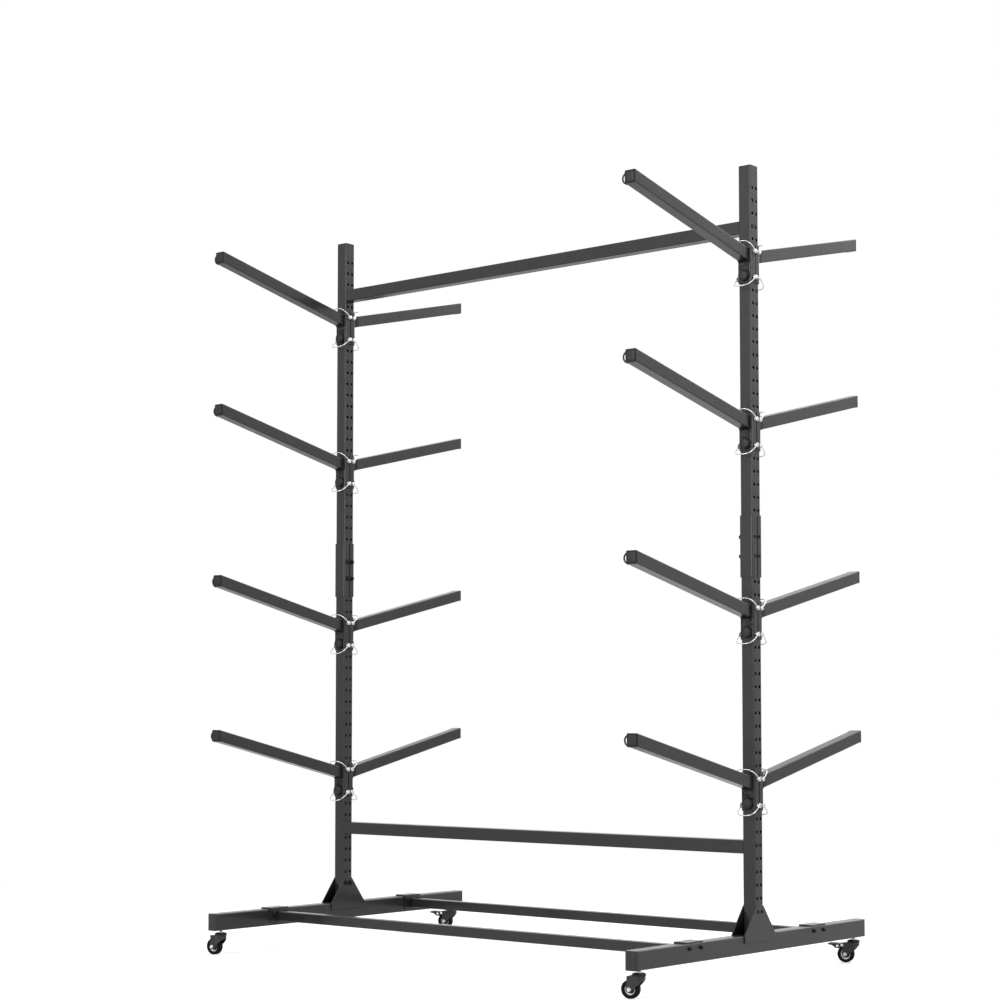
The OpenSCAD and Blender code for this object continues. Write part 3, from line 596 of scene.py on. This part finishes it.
def nut_geo(flat=13.0, h=6.0, bore=8.0):
    """Chamfered hexagon nut, its seat at z = 0 and its top at -h, with a nylon collar."""
    n, r, hole = 72, flat / 2, bore / 2
    corner, low = r / math.cos(math.pi / 6), r * 0.96
    loops = []
    for k in range(7):
        z = k / 6 * 1.2
        loops.append(hexagon(flat, -h + z, n, low + z * (corner - low) / 1.2))
    for k in range(5, -1, -1):
        z = k / 6 * 0.7
        loops.append(hexagon(flat, -z, n, r + z * (corner - r) / 0.7))
    body = loft(loops + [ring(hole, 0, n)])
    collar = revolve([(hole, -h), (hole, -h - 1.2), (hole + 1.0, -h - 1.5), (r - 1.6, -h - 1.1),
                      (r - 0.9, -h)], n)
    return body.add(collar).add(loft([ring(hole, -h, n), hexagon(flat, -h, n, low)]))


def fasteners():
    base, posts, bars = Geo(), Geo(), Geo()
    rows = (POST_Z + FIRST_HOLE, JOINT_Z - SPLICE_HOLE, JOINT_Z + SPLICE_HOLE)
    bar_rows = (rows[0] + 5 * HOLE_PITCH, rows[2] + 24 * HOLE_PITCH)
    for side, s in SIDES:
        x, axis = POST_X[side], (s, 0, 0)
        outer, inner = x + s * POST_H, x - s * (POST_H + RAIL_PLATE)
        for e in (-1, 1):
            for b in (-1, 1):
                y, z = e * RAIL_Y + b * BASE_BOLT_Y, FOOT_Z + BASE_BOLT_UP
                base.add(bolt_geo(BASE_BOLT_LEN, BASE_HEAD_D, BASE_HEAD_H),
                         along(axis, (outer, y, z), any_spin()))
                base.add(nut_geo(), along(axis, (inner, y, z), any_spin()))
        for y in (-COL_Y, COL_Y):
            for z in rows:
                head, nut = (x + s * PLATE_FACE, y, z), (x - s * PLATE_FACE, y, z)
                posts.add(bolt_geo(2 * PLATE_FACE + NUT_ROOM), along(axis, head, any_spin()))
                posts.add(nut_geo(), along(axis, nut, any_spin()))
            for z in bar_rows:
                bars.add(bolt_geo(BAR_BOLT_LEN), along(axis, (outer, y, z), any_spin()))
    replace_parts(piece("bolts_base", base, OXIDE, "frame"), "base_bolts")
    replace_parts(piece("bolts_posts", posts, OXIDE, "frame"), "post_bolts")
    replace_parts(piece("bolts_crossbars", bars, OXIDE, "frame"), "crossbar_bolts")


fasteners()


# ---------------------------------------------------------------- frame welds and caps
def post_cap_geo():
    """A post's plastic plug with its crowned flange; z = 0 is the end of the post."""
    levels = [(35.6, 1.2, -14), (35.6, 1.2, 0.0), (39.6, 2.9, 0.0), (40.0, 3.0, 0.5),
              (40.0, 3.0, 2.4)]
    levels += [(40 - 3.2 * (1 - c), 3.0, 2.4 + 1.3 * s) for c, s in quarter(5, 1)]
    return block(levels + [(26, 4, 3.95), (12, 3, 4.0)], 4.0)


def frame_details():
    welds = Geo()
    lap = POST_Z - GUSSET_LAP
    for side, s in SIDES:
        x = POST_X[side]
        for m in (-1, 1):
            # fillet weld along the bottom edge and the two ends of each gusset plate
            out, y = x + m * (POST_H + 1.7), GUSSET_HALF - 2.0
            welds.add(bead([(out, -y, lap - 0.4), (out, y, lap - 0.4)], 1.3))
            out = x + m * (POST_H + 0.6)
            for e in (-1, 1):
                y = e * (GUSSET_HALF + 0.2)
                welds.add(bead([(out, y, lap), (out, y, POST_Z - 3)], 1.5))
        # rail tube to end plate
        for e in (-1, 1):
            plane = x - s * (POST_H + RAIL_PLATE + 0.3)
            loop = [(plane, e * RAIL_Y + p[0], FOOT_Z + RAIL_UP + p[1])
                    for p in square(RAIL_W + 0.6, RAIL_W + 0.6, 3.2, 0)]
            welds.add(bead(loop, 1.7, closed=True))
    # the frame's beads take the near-black coat, as painted shade
    piece("welds_frame", welds, WELD_SHADE, "frame", 60)
    caps = Geo()
    for side in POST_X:
        caps.add(post_cap_geo(), Matrix.Translation((POST_X[side], 0, TOP_Z)))
    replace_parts(piece("caps_posts", caps, PLASTIC, "frame", 40), "post_caps")


frame_details()


# ---------------------------------------------------------------- arms
def arm_cap_geo():
    """Plug-in end cap: rounded black flange, a groove, and a crowned face painted a little
    lighter, as painted light.
    """
    tall = ARM_HZ / ARM_W
    levels = [(35.2, 3.2, 0.02), (35.5, 3.2, 0.3), (35.5, 3.2, 2.6)]
    levels += [(35.5 - 2.4 * (1 - c), 3.2, 2.6 + 1.6 * s) for c, s in quarter(5, 1)]
    levels += [(28.6, 2.8, 4.2), (28.0, 2.8, 3.75), (27.2, 2.8, 3.75), (26.6, 3.0, 4.6)]
    levels += [(26.6 - 12.0 * (1 - c), 3.4, 4.6 + 0.95 * s) for c, s in quarter(6, 1)]
    geo = block(levels + [(8.0, 2.0, 5.6)], 5.62, tall)
    return geo.paint(1, lambda p: max(abs(p.x), abs(p.y) / tall) < 13.5 and p.z > 4.0)


def knob_geo():
    """Lobed clamp knob with a face plate painted a little lighter, as painted light; z = 0 is its
    seat.
    """
    n, lobes = 96, 8

    def grip(r, z, lobe):
        out = []
        for j, (c, s) in enumerate(circle(n)):
            wave = 0.5 + 0.5 * math.cos(lobes * (2 * math.pi * j / n))
            rr = r + lobe * wave ** 0.6
            out.append((rr * c, rr * s, z))
        return out

    loops = [ring(16.0, 0.02, n), ring(16.15, 0.3, n)]
    loops += [grip(r, z, lobe) for r, z, lobe in (
        (16.15, 1.0, 0.55), (16.15, 2.0, 0.8), (16.15, 6.0, 0.8), (16.05, 7.0, 0.6),
        (15.4, 7.9, 0.3))]
    loops += [ring(r, z, n) for r, z in (
        (14.4, 8.45), (12.6, 8.6), (12.1, 8.35), (11.7, 8.2), (11.2, 8.2), (10.8, 8.45),
        (9.6, 8.75), (5.0, 8.95), (2.0, 9.0))]
    geo = loft(loops, (0, 0, 0.02), (0, 0, 9.02))
    return geo.paint(1, lambda p: p.xy.length < 11.0 and p.z > 8.0)


def pin_geo(up):
    """A lock pin with its grooved head, wire bail, and the bail's eye round the tail."""
    g = Geo()
    pin_r, wire = 4.5, 1.5
    tail, head0, head1 = -BR_OUT - 13.0, BR_OUT + 0.3, BR_OUT + 10.3
    shaft = [(2.6, tail), (4.1, tail + 1.6), (pin_r, tail + 3.0), (pin_r, head0 + 0.5)]
    g.add(lathe(shaft, 40), along((1, 0, 0)))
    head = [(5.2, head0), (6.2, head0 + 0.3), (6.5, head0 + 0.9), (6.5, head0 + 3.2),
            (6.1, head0 + 3.6), (6.1, head0 + 4.1), (6.5, head0 + 4.5), (6.5, head1 - 1.6),
            (6.2, head1 - 0.7), (5.4, head1 - 0.15), (4.2, head1)]
    g.add(lathe(head, 40), along((1, 0, 0)))
    angle = math.radians(38 if up else -38)
    half, reach = BR_OUT + 7.5, 44.0
    eye = pin_r + 0.4 + wire

    def turn(x, d, side=0.0):
        """x along the pin, d out along the bail's plane, side off that plane."""
        y, z = -d, side
        c, s = math.cos(-angle), math.sin(-angle)
        return Vector((x, y * c - z * s, y * s + z * c))

    # one smooth bow from the head to the tail, drawn as half of a superellipse
    bow = [turn(half, 0.0)]
    steps, e = 40, 2 / 3.0
    for k in range(steps + 1):
        a = math.pi * k / steps
        c, s = math.cos(a), math.sin(a)
        x = half * math.copysign(abs(c) ** e, c)
        bow.append(turn(x, eye + (reach - eye) * abs(s) ** e))
    loop, steps = [], 28
    for k in range(1, steps + 1):
        a = math.pi * 2 * k / steps * 0.93
        loop.append(turn(-half - 0.9 * k / steps, eye * math.cos(a), eye * math.sin(a)))
    g.add(sweep(bow[:-1] + [turn(-half, eye)] + loop, wire, 12))
    # crimp where the wire enters the head
    g.add(lathe([(1.6, -2.6), (2.3, -2.2), (2.3, 2.2), (1.6, 2.6)], 20),
          Matrix.Translation(turn(half, 5.6)) @ along(turn(0, 1.0)))
    return g


def arm_welds(place):
    """The weld of the arm's root to its bracket, and the spots that hold the strap ring."""
    welds = Geo()
    loop = [(p[0], -BR_OUT - 0.7, ROOT_Z + p[1] + 0.2)
            for p in square(36.2, ARM_HZ + 1.2, 3.6, 0)]
    welds.add(bead(loop, 3.3, 3.6, True), place)
    y, z, r = -REACH + RING_IN, TIP_Z - RING_IN * RISE, 3.0
    for e in (-1, 1):
        spot = [(-17.6 + 0.275 * c, y + r * c, z + e * RING_R + r * s) for c, s in circle(12)]
        welds.add(bead(spot, 1.0, 2.2, True), place)
    return welds


def arm_details():
    cap, knob = arm_cap_geo(), knob_geo()
    front = (0, -1, 0)
    for depth, turned in (("front", 1), ("back", -1)):
        for side in POST_X:
            for level, z in ARM_Z.items():
                name = f"{depth}_{side}_{level}"
                body = "arm_" + name
                place = Matrix.Translation((POST_X[side], 0, z)) @ mirror(turned, (0, 1, 0))
                geo = Geo().add(cap, place @ along(front, (0, -REACH, TIP_Z)))
                # caps and knobs: black plastic, with their faces in the lighter copy as painted
                # light
                piece("cap_" + body, geo, [PLASTIC, PLASTIC_LIT], body, 40)
                seat = along(front, (0, -BR_OUT - 0.05, KNOB_Z), any_spin())
                geo = Geo().add(knob, place @ seat)
                piece("knob_" + body, geo, [PLASTIC, PLASTIC_LIT], body, 40)
                # the root weld takes the near-black coat, as painted shade
                piece("welds_" + body, arm_welds(place), WELD_SHADE, body, 60)
                pins = Geo()
                for up in (0, 1):
                    hole = Matrix.Translation((0, -COL_Y, up * PIN_SPAN))
                    pins.add(pin_geo(up), place @ hole)
                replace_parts(piece("lockpins_" + name, pins, ZINC, body, 40),
                            "pins_" + name)


arm_details()


# ---------------------------------------------------------------- casters
def wheel_geos():
    """Tyre, grey rings and hub of a wheel, turning about Z."""
    arc = [(21.8 + 3.2 * s, 6.8 + 3.2 * c) for c, s in quarter(8)]
    tread = [(16.4, -9.6)] + [(r, -z) for r, z in arc]
    tread += [(WHEEL_R, -1.2), (24.75, -0.7), (24.75, 0.7), (WHEEL_R, 1.2)] + arc[::-1]
    tread += [(16.4, 9.6), (15.7, 9.1), (15.5, 8.0), (15.5, -8.0), (15.7, -9.1)]
    tyre = revolve(tread, 96)
    # the faces between hub and tyre are dished, with a pale ring at the bottom of each dish
    grey = Geo()
    band = [(11.3, 3.0), (15.55, 3.0), (15.55, 5.2), (15.1, 5.4), (14.3, 4.9), (13.3, 4.5),
            (12.2, 4.3), (11.5, 4.1), (11.3, 3.8)]
    half = [(3.05, 11.7), (6.6, 11.7), (7.4, 11.3), (8.3, 10.2), (8.5, 8.6), (8.6, 4.8),
            (9.2, 3.9), (11.4, 3.6)]
    hub = revolve([(r, -z) for r, z in half] + half[::-1], 72)
    rib = loft([square(2.9, 1.1, 0.3, 0), square(2.9, 1.1, 0.3, 1.0)], (0, 0, 0), (0, 0, 1.0))
    for s in (-1, 1):
        flip = mirror(s, (0, 0, 1))
        grey.add(revolve(band, 96), flip)
        for k in range(6):
            hub.add(rib, flip @ Matrix.Rotation(math.pi / 3 * k, 4, "Z")
                    @ Matrix.Translation((9.9, 0, 3.5)))
    return tyre, grey, hub


def swivel_cap_geo():
    """A rolled lower lip, a seam and a domed top."""
    z = CASTER_TOP
    section = [(4.1, z - CAP_H), (18.0, z - CAP_H), (18.6, z - 7.7), (18.9, z - 7.2),
               (18.9, z - 5.6), (18.55, z - 5.2), (18.55, z - 4.95), (18.85, z - 4.6)]
    section += [(13.6 + 5.0 * c, z - 4.2 + 3.7 * s) for c, s in quarter(7)]
    return revolve(section + [(9.6, z - 0.25), (9.0, z), (4.1, z)], 72)


def stem_geo():
    """Threaded stem, washer, and the head under the fork's plate."""
    z = CASTER_TOP
    under = z - CAP_H - PLAY - FORK_T - PLAY
    profile = [(6.2, under - 2.4), (7.0, under - 2.0), (7.0, under - 0.3), (6.6, under),
               (4.0, under), (4.0, z), (8.4, z), (8.75, z + 0.3), (8.75, z + 2.0),
               (8.4, z + 2.3), (3.9, z + 2.3)]
    t = z + 2.4
    while t < FOOT_Z + 16.0:
        profile += [(3.45, t + 0.3), (4.0, t + 0.9)]
        t += THREAD
    return lathe(profile + [(3.4, FOOT_Z + 16.9)], 48)


def axle_geo(spot, braked):
    """A domed head on one side, over a ring where there is a brake; a nut on the other side."""
    ends = Geo()
    near, far = (TRAIL, -FORK_HALF, WHEEL_R), (TRAIL, FORK_HALF, WHEEL_R)
    dome = [(5.3, 0), (5.55, 0.4), (5.5, 2.3), (5.2, 2.75), (4.2, 3.2), (2.2, 3.5)]
    ends.add(lathe(dome, 40), spot @ along((0, -1, 0), near))
    if braked:
        washer = [(4.0, 0.02), (8.6, 0.02), (8.8, 0.25), (8.7, 0.5), (4.0, 0.5)]
        ends.add(revolve(washer, 48), spot @ along((0, -1, 0), near))
    ends.add(nut_geo(10.6, 3.0, 5.2), spot @ along((0, -1, 0), far, 0.3))
    return ends.add(lathe([(2.5, 0), (2.6, 3.4), (2.1, 4.0)], 24), spot @ along((0, 1, 0), far))


def brake_details(side, spot):
    """Tread ribs, rivets and the return spring of a brake pedal."""
    body, top = "pedal_" + side, PEDAL_Z + 4.6
    ribs = Geo()
    rib = loft([square(1.7, 29.0, 0.6, -0.2), square(1.7, 29.0, 0.6, 0.35),
                square(1.0, 28.2, 0.4, 0.8)], (0, 0, -0.2), (0, 0, 0.8))
    for k in range(6):
        ribs.add(rib, spot @ Matrix.Translation((49.0 + 4.0 * k, 0, top)))
    piece("ribs_" + body, ribs, SHEET, body, 40)
    rivets, pins = Geo(), Geo()
    dome = lathe([(4.35, 0), (4.5, 0.4), (4.45, 1.3), (4.3, 1.9), (3.4, 2.4), (1.8, 2.7)], 36)
    for s in (-1, 1):
        rivets.add(dome, spot @ along((0, s, 0), (45.0, s * 17.2, 49.3)))
        pins.add(dome, spot @ along((0, s, 0), (PEDAL_X, s * 17.5, PEDAL_Z)))
    x, z, r, half, count = 51.0, 46.6, 2.3, 11.0, 150
    coil = []
    for k in range(count):
        a = 2 * math.pi * k / 16
        y = -half + 2 * half * k / (count - 1)
        coil.append((x + r * math.cos(a), y, z + r * math.sin(a)))
    wire = [(x, -half - 0.5, 52.0)] + coil + [(x, half + 0.5, 52.0)]
    rivets.add(sweep(wire, 0.55, 8), spot)
    piece("rivets_" + body, rivets, ZINC, body, 40)
    piece("pivots_" + body, pins, ZINC, "caster_back_" + side, 40)


def caster_details():
    caps, stems = Geo(), Geo()
    tyre, grey, hub = wheel_geos()
    for name, turn in TURN.items():
        depth, side = name.split("_")
        y = -CASTER_Y if depth == "front" else CASTER_Y
        spot = (Matrix.Translation((POST_X[side], y, 0))
                @ Matrix.Rotation(math.radians(turn), 4, "Z"))
        caps.add(swivel_cap_geo(), spot)
        stems.add(stem_geo(), spot)
        axle = spot @ along((0, 1, 0), (TRAIL, 0, WHEEL_R), 0.4)
        wheel = "wheel_" + name
        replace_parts(piece("tyre_" + name, Geo().add(tyre, axle), TYRE, wheel, 40), wheel)
        piece("hub_" + name, Geo().add(hub, axle), PLASTIC, wheel, 40)
        piece("ring_" + name, Geo().add(grey, axle), GREY, wheel, 40)
        ends = axle_geo(spot, depth == "back")
        piece("axle_" + name, ends, ZINC, "caster_" + name, 40)
        if depth == "back":
            brake_details(side, spot)
    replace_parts(piece("caps_casters", caps, PLASTIC, "frame", 40), "caster_caps")
    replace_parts(piece("stems_casters", stems, ZINC, "frame", 40), "caster_stems")


caster_details()

# ---------------------------------------------------------------- stage, light and camera
FLOOR_HALF = 30.0  # metres
FLOOR_TONES = (0.62, 0.65)
FLOOR_FADE = (1.3, 3.6)  # metres from the middle over which the floor turns white
FLOOR_GLOW = 0.48  # lifts the lit floor to the white of the surroundings
FLOOR_MIRRORED = 0.15  # how much of the glow and of the fade to white reflections see
WORLD_FILL = 0.52  # strength of the white world as a light
LAMPS = (  # name, place, aim, size, watts
    ("key", (-1.0, -8.4, 3.3), (0.0, 0.0, 0.8), 4.5, 380.0),
    ("side", (6.6, -1.2, 3.4), (0.4, 0.0, 1.1), 3.4, 210.0),
    ("top", (0.4, 0.6, 6.4), (0.0, 0.0, 0.6), 4.0, 210.0),
    ("rear", (1.6, 5.8, 4.4), (0.0, 0.0, 1.2), 3.0, 110.0),
)
CAMERA_X, CAMERA_Y, CAMERA_Z = 4194.8, -5124.8, 747.6  # millimetres; x from between the posts
CAMERA_YAW, CAMERA_PITCH = math.radians(40.147), math.radians(3.504)
CAMERA_LENS, CAMERA_SHIFT = 77.72, 0.08


def stage():
    mesh = bpy.data.meshes.new("floor")
    corners = [(-1, -1), (1, -1), (1, 1), (-1, 1)]
    mesh.from_pydata([(x * FLOOR_HALF, y * FLOOR_HALF, 0) for x, y in corners], [],
                     [(0, 1, 2, 3)])
    floor = in_scene("floor", mesh)
    floor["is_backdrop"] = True
    m = Nodes("floor_pale")
    tone = m.cloudy(1.6, detail=3.0, rough=0.5)
    m.set(Base_Color=m.mix(tone, *[rgb(grey) for grey in FLOOR_TONES]), Roughness=0.6)
    path = m.new("ShaderNodeLightPath")
    # reflections see a duller floor than the camera does, so that undersides stay charcoal
    direct = m.math("MAXIMUM", path.outputs["Is Camera Ray"], path.outputs["Is Transmission Ray"])
    seen = m.math("MAXIMUM", direct, m.times(path.outputs["Is Glossy Ray"], FLOOR_MIRRORED))
    # near the object the floor takes light and shadow; further out it fades to white
    length = m.new("ShaderNodeVectorMath")
    length.operation = "LENGTH"
    m.link(m.coords, length.inputs[0])
    far = m.times(m.remap(length.outputs["Value"], *FLOOR_FADE, 0.0, 1.0, True), seen)
    near = m.new("ShaderNodeEmission", Strength=m.times(seen, FLOOR_GLOW))
    white = m.new("ShaderNodeEmission")
    add, fade = m.new("ShaderNodeAddShader"), m.new("ShaderNodeMixShader")
    m.link(m.bsdf.outputs[0], add.inputs[0])
    m.link(near.outputs[0], add.inputs[1])
    m.link(far, fade.inputs[0])
    m.link(add.outputs[0], fade.inputs[1])
    m.link(white.outputs[0], fade.inputs[2])
    m.link(fade.outputs[0], m.out.inputs["Surface"])
    floor.data.materials.append(m.material)


def surroundings():
    """A world that is white where it is seen or mirrored, and dimmer as a light."""
    world = bpy.data.worlds.new("studio")
    bpy.context.scene.world = world
    world.use_nodes = True
    t = world.node_tree
    t.nodes.clear()
    out = t.nodes.new("ShaderNodeOutputWorld")
    back = t.nodes.new("ShaderNodeBackground")
    path = t.nodes.new("ShaderNodeLightPath")
    two, three, strength = (t.nodes.new("ShaderNodeMath") for _ in range(3))
    two.operation = three.operation = "MAXIMUM"
    strength.operation = "MULTIPLY_ADD"
    t.links.new(path.outputs["Is Camera Ray"], two.inputs[0])
    t.links.new(path.outputs["Is Glossy Ray"], two.inputs[1])
    t.links.new(two.outputs[0], three.inputs[0])
    t.links.new(path.outputs["Is Transmission Ray"], three.inputs[1])
    t.links.new(three.outputs[0], strength.inputs[0])
    strength.inputs[1].default_value = 1.0 - WORLD_FILL
    strength.inputs[2].default_value = WORLD_FILL
    back.inputs["Color"].default_value = rgb(1.0)
    t.links.new(strength.outputs[0], back.inputs["Strength"])
    t.links.new(back.outputs[0], out.inputs["Surface"])


def lamp(name, place, aim, size, watts):
    light = bpy.data.lights.new(name, "AREA")
    light.shape, light.size, light.energy = "SQUARE", size, watts
    obj = in_scene(name, light)
    obj.location = place
    obj.rotation_mode = "QUATERNION"
    obj.rotation_quaternion = (Vector(aim) - Vector(place)).to_track_quat("-Z", "Y")


def view():
    data = bpy.data.cameras.new("camera")
    camera = in_scene("camera", data)
    middle = (POST_X["left"] + POST_X["right"]) / 2
    camera.location = ((CAMERA_X + middle) / 1000, CAMERA_Y / 1000, CAMERA_Z / 1000)
    camera.rotation_euler = (math.pi / 2 + CAMERA_PITCH, 0, CAMERA_YAW)
    data.sensor_width, data.lens = 36.0, CAMERA_LENS
    data.shift_x, data.shift_y = 0.0, CAMERA_SHIFT
    data.dof.use_dof = False
    data.clip_start, data.clip_end = 0.05, 200.0
    bpy.context.scene.camera = camera
    bpy.context.scene.view_settings.view_transform = "Standard"


stage()
surroundings()
for setting in LAMPS:
    lamp(*setting)
view()

lo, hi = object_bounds()
